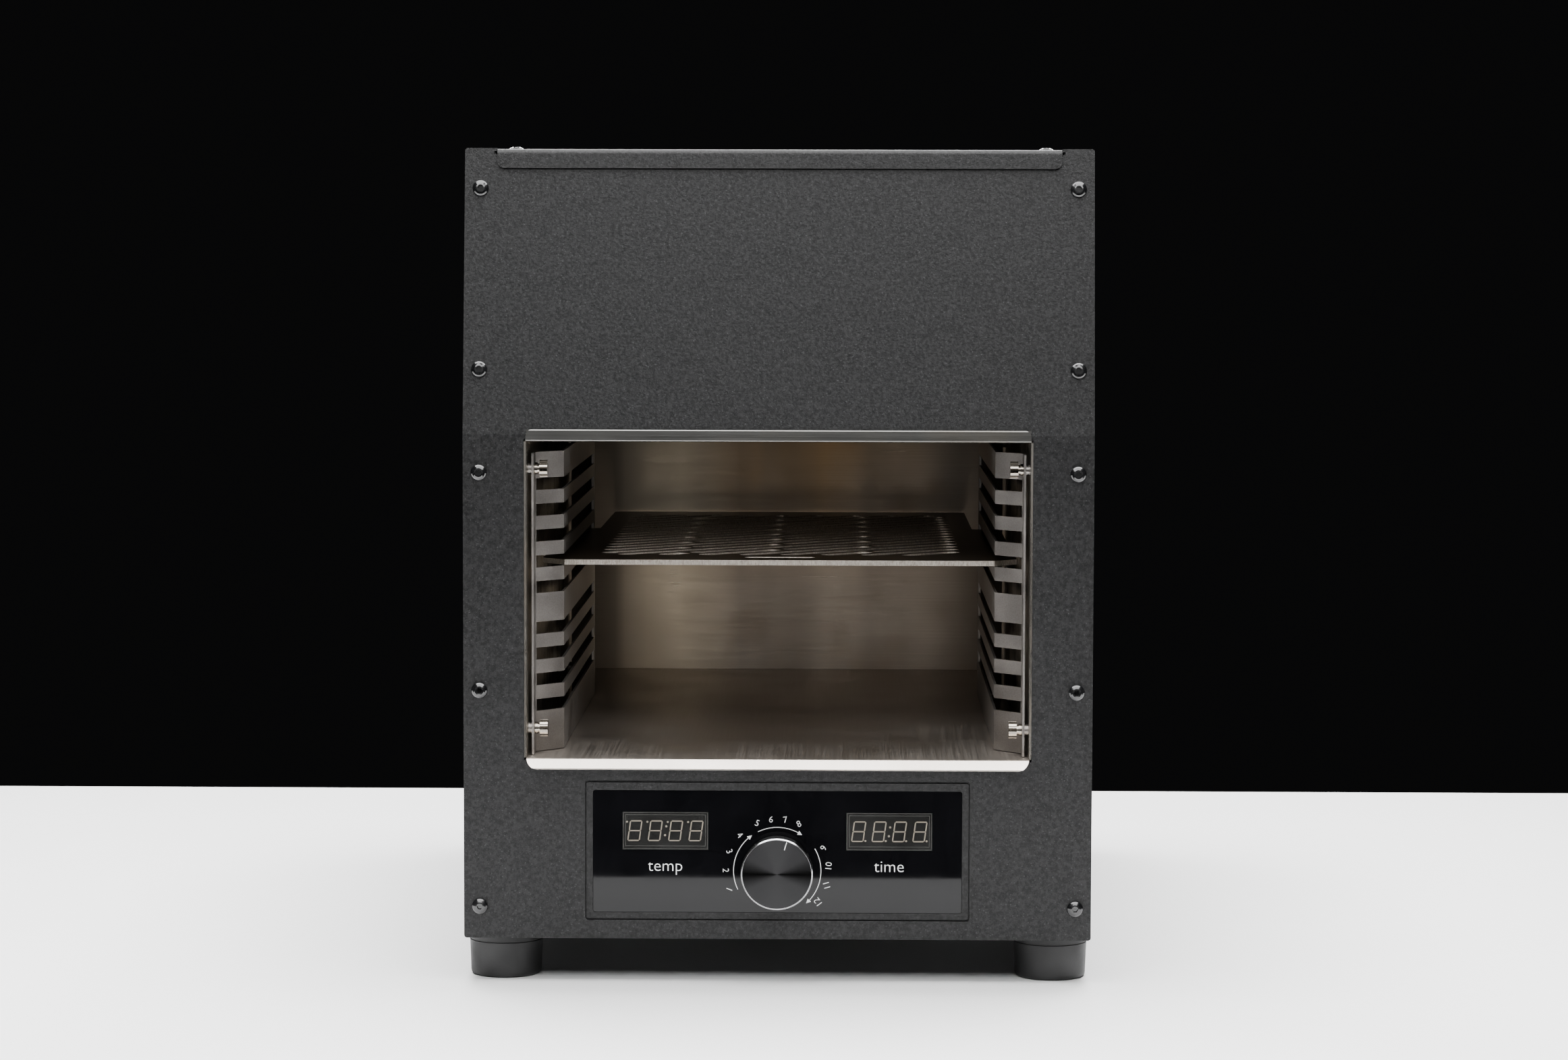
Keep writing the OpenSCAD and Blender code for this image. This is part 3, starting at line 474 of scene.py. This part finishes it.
# %% Builder for thin flat pieces
def thin_piece(name, outlines, front, depth, material, body="case"):
    """One piece from closed (x, z) outlines, with its front at y = front and its back depth behind."""
    mesh = bpy.data.meshes.new(name)
    bm = bmesh.new()
    for outline in outlines:
        near = [bm.verts.new((x, front, z)) for x, z in outline]
        far = [bm.verts.new((x, front + depth, z)) for x, z in outline]
        bm.faces.new(near)
        bm.faces.new(list(reversed(far)))
        for i in range(len(outline)):
            j = (i + 1) % len(outline)
            bm.faces.new((near[j], near[i], far[i], far[j]))
    bmesh.ops.recalc_face_normals(bm, faces=bm.faces)
    bm.to_mesh(mesh)
    bm.free()
    mesh.materials.append(material)
    piece = bpy.data.objects.new(name, mesh)
    bpy.context.collection.objects.link(piece)
    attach(piece, body)
    return piece


print("flat pieces face the front: y is their depth direction")

# %% [markdown]
# ## Seven-segment digits
# Each display is a moulded block with four leaning figures. A figure is seven bars with pointed
# ends, so all seven come from one bar outline: three lie flat and four stand upright, and the whole
# figure leans eight degrees. Unlit bars are cream. The left display has a point before each figure,
# the right one has a point after it, and both have a colon in the middle.

# %% Digit outlines
DIGIT_HEIGHT = 10.3 * MM
DIGIT_WIDTH = 6.2 * MM
DIGIT_PITCH = 10.07 * MM
BAR = 0.58 * MM
BAR_GAP = 0.12 * MM
LEAN = math.tan(math.radians(8))
POINT_RADIUS = 0.5 * MM
COLON_RADIUS = 0.55 * MM
COLON_RISE = 2.2 * MM
FIGURE_DEPTH = 0.05 * MM


def bar(length):
    """A flat bar with pointed ends, centred on the origin."""
    half, thick = length / 2, BAR / 2
    return [(-half, 0), (-half + thick, thick), (half - thick, thick), (half, 0),
            (half - thick, -thick), (-half + thick, -thick)]


def figure(cx, cz):
    """The seven bars of one leaning figure centred on (cx, cz)."""
    wide = DIGIT_WIDTH - BAR - 2 * BAR_GAP
    tall = DIGIT_HEIGHT / 2 - BAR / 2 - 2 * BAR_GAP
    level = DIGIT_HEIGHT / 2 - BAR / 2
    reach = (DIGIT_WIDTH - BAR) / 2
    flat = [[(u, v + c) for u, v in bar(wide)] for c in (-level, 0, level)]
    upright = [[(v + s * reach, u + c) for u, v in bar(tall)]
               for s in (-1, 1) for c in (-level / 2, level / 2)]
    return [[(cx + u + v * LEAN, cz + v) for u, v in outline] for outline in flat + upright]


def dot(cx, cz, radius, steps=12):
    turns = [math.tau * k / steps for k in range(steps)]
    return [(cx + radius * math.cos(t), cz + radius * math.sin(t)) for t in turns]


def display_outlines(node, point_before):
    """Outlines of four figures, their points and the colon, and the y of the display's face."""
    low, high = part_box(node)
    cx, cz = (low.x + high.x) / 2, (low.z + high.z) / 2
    outlines = []
    for k in range(4):
        x = cx + (k - 1.5) * DIGIT_PITCH
        outlines += figure(x, cz)
        if point_before:
            outlines.append(dot(x - 3.9 * MM, cz + 4.4 * MM, POINT_RADIUS))
        else:
            outlines.append(dot(x + 3.3 * MM, cz - 4.6 * MM, POINT_RADIUS))
    for dz in (-COLON_RISE, COLON_RISE):
        outlines.append(dot(cx + dz * LEAN + 0.1 * MM, cz + dz, COLON_RADIUS))
    return outlines, low.y


for node, name, before in (("temperature_display", "temperature_figures", True),
                           ("time_display", "time_figures", False)):
    outlines, face = display_outlines(node, before)
    thin_piece(name, outlines, face - 0.06 * MM, FIGURE_DEPTH, segment_cream)
    print(name, "has", len(outlines), "outlines")

# %% [markdown]
# ## Display window edges
# The displays sit in clear windows whose polished edges pick up light as two thin pale frames, one
# at the rim and one round the figures. Each frame is a ring of four narrow bars, a little forward of
# the display's face, with mitred corners so no two bars overlap. The bars' paler grey is a painted
# highlight for the light on those edges, and their gloss reflects the lamps as well.

# %% Window edges
def corners(x0, x1, z0, z1):
    return [(x0, z0), (x1, z0), (x1, z1), (x0, z1)]


def frame_bars(x0, x1, z0, z1, width):
    """Four mitred bars just inside the given box."""
    outer = corners(x0, x1, z0, z1)
    inner = corners(x0 + width, x1 - width, z0 + width, z1 - width)
    return [[outer[k], outer[(k + 1) % 4], inner[(k + 1) % 4], inner[k]] for k in range(4)]


RIM_INSET = 1.2 * MM
RIM_INSET_BELOW = 1.6 * MM
for node, name in (("temperature_display", "temperature_window_edge"),
                   ("time_display", "time_window_edge")):
    low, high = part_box(node)
    # these bars carry the painted highlight of the polished window edges
    outlines = frame_bars(low.x, high.x, low.z, high.z, 0.45 * MM)
    outlines += frame_bars(low.x + RIM_INSET, high.x - RIM_INSET,
                           low.z + RIM_INSET_BELOW, high.z - RIM_INSET, 0.3 * MM)
    thin_piece(name, outlines, low.y - 0.04 * MM, 0.035 * MM, window_edge)
print("window edges in place")

# %% [markdown]
# ## Printed scale
# Three arrows are printed round the knob, each a thin arc with a small triangular head at its
# clockwise end, and a plain row of numbers stands outside them. An arc is one closed outline: out
# along the larger radius and back along the smaller one. Angles are measured anticlockwise from the
# right, as in a drawing.

# %% Arc arrows
SCALE_RADIUS = 21.6 * MM
ARC_LINE = 0.32 * MM
HEAD_HALF = 1.1 * MM
HEAD_TURN = 6
ARROWS = ((205.8, 131.5), (116.2, 61.5), (30.8, -42.5))
INK_DEPTH = 0.03 * MM


def polar(radius, degrees):
    angle = math.radians(degrees)
    return (knob_x + radius * math.cos(angle), knob_z + radius * math.sin(angle))


def arc(start, end, steps=28):
    turns = [start + (end - start) * k / steps for k in range(steps + 1)]
    outer = [polar(SCALE_RADIUS + ARC_LINE / 2, t) for t in turns]
    inner = [polar(SCALE_RADIUS - ARC_LINE / 2, t) for t in reversed(turns)]
    return outer + inner


def arrow_head(end):
    return [polar(SCALE_RADIUS + HEAD_HALF, end), polar(SCALE_RADIUS, end - HEAD_TURN),
            polar(SCALE_RADIUS - HEAD_HALF, end)]


scale_outlines = []
for start, end in ARROWS:
    scale_outlines += [arc(start, end), arrow_head(end)]
thin_piece("scale_arrows", scale_outlines, glass_front - INK_DEPTH, INK_DEPTH, ink)
print("printed", len(ARROWS), "arrows")

# %% [markdown]
# ## Numbers and words
# Blender's built-in typeface is plain enough for generic marks. A text object is turned into a mesh
# at once, because a mesh exports like every other piece. The numbers one to twelve stand round the
# scale, each turned so that its foot points at the knob's centre, and a plain word under each
# display says what it shows.

# %% Lettering
def lettering(name, text, size, cx, cz, turn=0.0):
    """Printed text centred on (cx, cz), turned clockwise by turn degrees."""
    curve = bpy.data.curves.new(name, "FONT")
    curve.body = text
    curve.size = size
    curve.align_x = "CENTER"
    curve.align_y = "CENTER"
    curve.extrude = INK_DEPTH / 2
    curve.offset = -0.013 * size
    curve.resolution_u = 3
    draft = bpy.data.objects.new(name + "_draft", curve)
    bpy.context.collection.objects.link(draft)
    bpy.context.view_layer.update()
    mesh = bpy.data.meshes.new_from_object(draft.evaluated_get(bpy.context.evaluated_depsgraph_get()))
    bpy.data.objects.remove(draft)
    upright = Matrix.Rotation(math.radians(90), 4, "X")
    spin = Matrix.Rotation(math.radians(-turn), 4, "Y")
    mesh.transform(Matrix.Translation((cx, glass_front - INK_DEPTH / 2, cz)) @ spin @ upright)
    mesh.materials.clear()
    mesh.materials.append(ink)
    piece = bpy.data.objects.new(name, mesh)
    bpy.context.collection.objects.link(piece)
    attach(piece, "case")


NUMBER_RADIUS = 25.6 * MM
NUMBER_SIZE = 4.5 * MM
WORD_SIZE = 8.4 * MM
WORD_DROP = 8.2 * MM
for group, (start, end) in enumerate(ARROWS):
    for k in range(4):
        number = 4 * group + k + 1
        angle = start + (end - start) * (0.06 + 0.29 * k)
        x, z = polar(NUMBER_RADIUS, angle)
        lettering("scale_number_%d" % number, str(number), NUMBER_SIZE, x, z, 90 - angle)
for word, node, name in (("temp", "temperature_display", "word_left"),
                         ("time", "time_display", "word_right")):
    low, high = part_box(node)
    lettering(name, word, WORD_SIZE, (low.x + high.x) / 2, low.z - WORD_DROP)
print("lettering done")

# %% [markdown]
# ## Marks on the rocker
# A mains rocker carries two plain marks: a bar on the half that is pressed for on, and a ring on the
# other. Each half is a flat face with its own slope, so a mark is first drawn flat, then turned by
# that face's normal, and rides with the rocker. A known fault remains: the faces are found by their
# direction alone, which also finds walls of the pivot's bore. The middle then lies inside the
# rocker, and both marks are hidden under its surface.

# %% Rocker marks
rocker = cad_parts["power_rocker"]


def rocker_face(upper):
    """Middle of all faces that point the upper or the lower way, and the first one's normal."""
    found = [p for p in rocker.data.polygons if p.normal.y > 0.85 and (p.normal.z < 0.1) == upper]
    points = [rocker.data.vertices[i].co for p in found for i in p.vertices]
    low = Vector(min(v[k] for v in points) for k in range(3))
    high = Vector(max(v[k] for v in points) for k in range(3))
    return rocker.matrix_world @ ((low + high) / 2), found[0].normal.copy()


def ring_mark(radius, width, steps=24):
    """A ring cut into short four-sided outlines, because one outline can't have a hole."""
    turns = [math.tau * k / steps for k in range(steps + 1)]
    outer = [((radius + width) * math.cos(t), (radius + width) * math.sin(t)) for t in turns]
    inner = [(radius * math.cos(t), radius * math.sin(t)) for t in turns]
    return [[outer[k], outer[k + 1], inner[k + 1], inner[k]] for k in range(steps)]


MARK_LIFT = 0.03 * MM
bar_mark = [corners(-0.35 * MM, 0.35 * MM, -2.2 * MM, 2.2 * MM)]
for name, upper, outlines in (("rocker_bar", True, bar_mark),
                              ("rocker_ring", False, ring_mark(1.6 * MM, 0.6 * MM))):
    middle, outward = rocker_face(upper)
    mark = thin_piece(name, outlines, -0.02 * MM, 0.04 * MM, ink, body="rocker")
    turn = outward.to_track_quat("-Y", "Z").to_matrix().to_4x4()
    mark.data.transform(Matrix.Translation(middle + outward * MARK_LIFT) @ turn)
    print(name, "at", [round(v, 4) for v in middle])

# %% [markdown]
# ## Pointer line
# The pointer is a thin painted line in a shallow groove near the knob's rim. It stands 17 degrees
# clockwise of the top, and it is on the knob's body, so it turns with the knob.

# %% Pointer line on the knob
POINTER_TURN = 16.8
GROOVE_DEPTH = 0.26 * MM
pointer = []
angle = math.radians(90 - POINTER_TURN)
dx, dz = math.cos(angle), math.sin(angle)
for along, across in ((5.1, -0.24), (5.1, 0.24), (1.0, 0.24), (1.0, -0.24)):
    radial = knob_radius - along * MM
    pointer.append((knob_x + radial * dx + across * MM * dz, knob_z + radial * dz - across * MM * dx))
thin_piece("pointer_line", [pointer], knob_face + GROOVE_DEPTH, INK_DEPTH, ink, body="knob")
print("pointer at", POINTER_TURN, "degrees from the top")

# %% [markdown]
# ## Table
# The part stands on a pale table, a plain slab whose top is at height zero. It is staging and not
# part of the object. A slow cloud in its colour keeps the wide white surface from looking like card.

# %% Table
def table():
    mesh = bpy.data.meshes.new("table")
    bm = bmesh.new()
    half_width, front, back, thick = 1.3, -0.543, 0.475, 0.03
    bmesh.ops.create_cube(bm, size=1.0)
    middle = Matrix.Translation((0, (front + back) / 2, -thick / 2))
    bm.transform(middle @ Matrix.Diagonal((2 * half_width, back - front, thick, 1)))
    bm.to_mesh(mesh)
    bm.free()
    top, tree, shader = new_finish("table_top", 0.42)
    cloud = grain(tree, place(tree), 0.2, 3)
    feed(tree, shader, base_color=blend_colours(tree, cloud, (0.80, 0.80, 0.802), (0.84, 0.84, 0.842)))
    mesh.materials.append(top)
    piece = bpy.data.objects.new("table", mesh)
    bpy.context.collection.objects.link(piece)
    return piece


top_piece = table()
print("table stands", round(top_piece.dimensions.x, 2), "m wide")

# %% [markdown]
# ## Light
# Behind and around the oven it is dark, which is what makes black paint readable: its edges are
# drawn by reflections only. Wide area lights hang above and in front, and one far light fills the
# cavity. Three more lights do one job each, through light linking: one whitens the table alone, one
# grazes the lid's bend from behind, and one lies low in front, as light thrown up by the table, so
# the front panel grows paler towards its foot.

# %% Light
def soft_light(name, place_at, aim, size, power):
    """A rectangular area light of the given size in metres and power in watts, aimed at a point."""
    light = bpy.data.lights.new(name, "AREA")
    light.shape = "RECTANGLE"
    light.size, light.size_y = size
    light.energy = power
    lamp = bpy.data.objects.new(name, light)
    lamp.location = place_at
    lamp.rotation_euler = (Vector(aim) - Vector(place_at)).to_track_quat("-Z", "Y").to_euler()
    bpy.context.collection.objects.link(lamp)
    return lamp


soft_light("front_high", (0.0, -1.15, 1.05), (0.0, -0.2, 0.33), (1.3, 0.6), 18)
soft_light("overhead", (0.0, -0.40, 1.15), (0.0, -0.38, 0.0), (1.5, 0.6), 30)
soft_light("top_rear", (0.0, 0.45, 1.5), (0.0, 0.1, 0.0), (1.6, 0.8), 14)
room = soft_light("room", (0.0, -3.6, 1.35), (0.0, 0.0, 1.0), (4.5, 2.7), 15)
table_only = soft_light("table_only", (0.0, 0.35, 1.9), (0.0, 0.05, 0.0), (1.3, 0.9), 170)
lid_edge = soft_light("lid_edge", (0.0, 0.9, 0.98), (0.0, -0.2, 0.41), (1.4, 0.3), 22)
bounce = soft_light("bounce", (0.0, -0.62, 0.02), (0.0, -0.225, 0.06), (0.4, 0.15), 0.3)


def only_for(light, pieces, state="INCLUDE"):
    """Lights only the given pieces, or with EXCLUDE all but them."""
    chosen = bpy.data.collections.new(light.name + "_pieces")
    light.light_linking.receiver_collection = chosen
    for piece in pieces:
        chosen.objects.link(piece)
    for item in chosen.collection_objects:
        item.light_linking.link_state = state


only_for(table_only, [top_piece])
coated = [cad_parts[name]
          for name in ("front_panel", "left_side_panel", "right_side_panel", "control_frame")]
only_for(lid_edge, [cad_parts[name] for name in ("top_cover", "cover_screws", "front_panel")])
only_for(bounce, coated)
only_for(room, [top_piece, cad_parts["top_cover"], *coated], "EXCLUDE")
world = bpy.data.worlds.new("dark_room")
world.use_nodes = True
world.node_tree.nodes["Background"].inputs[0].default_value = (0.004, 0.004, 0.0042, 1)
bpy.context.scene.world = world

# %% [markdown]
# ## Camera
# The camera stands two metres in front with a long lens, a little below the lid's height and tilted
# slightly down, so the case keeps nearly upright sides while its cavity shows some depth. It is
# turned by a pan about the upright, a tilt, and a small roll about its own line of sight.

# %% Camera
camera_data = bpy.data.cameras.new("camera")
camera_data.lens = 89.07
camera_data.sensor_width = 36
camera = bpy.data.objects.new("camera", camera_data)
camera.location = (0.032, -2.120, 0.3592)
pan = Matrix.Rotation(math.radians(0.877), 4, "Z")
tilt = Matrix.Rotation(math.radians(90 - 4.05), 4, "X")
roll = Matrix.Rotation(math.radians(0.15), 4, "Z")
camera.rotation_euler = (pan @ tilt @ roll).to_euler()
bpy.context.collection.objects.link(camera)
bpy.context.scene.camera = camera
print("camera", round(camera_data.lens, 1), "mm lens,", [round(v, 3) for v in camera.location])
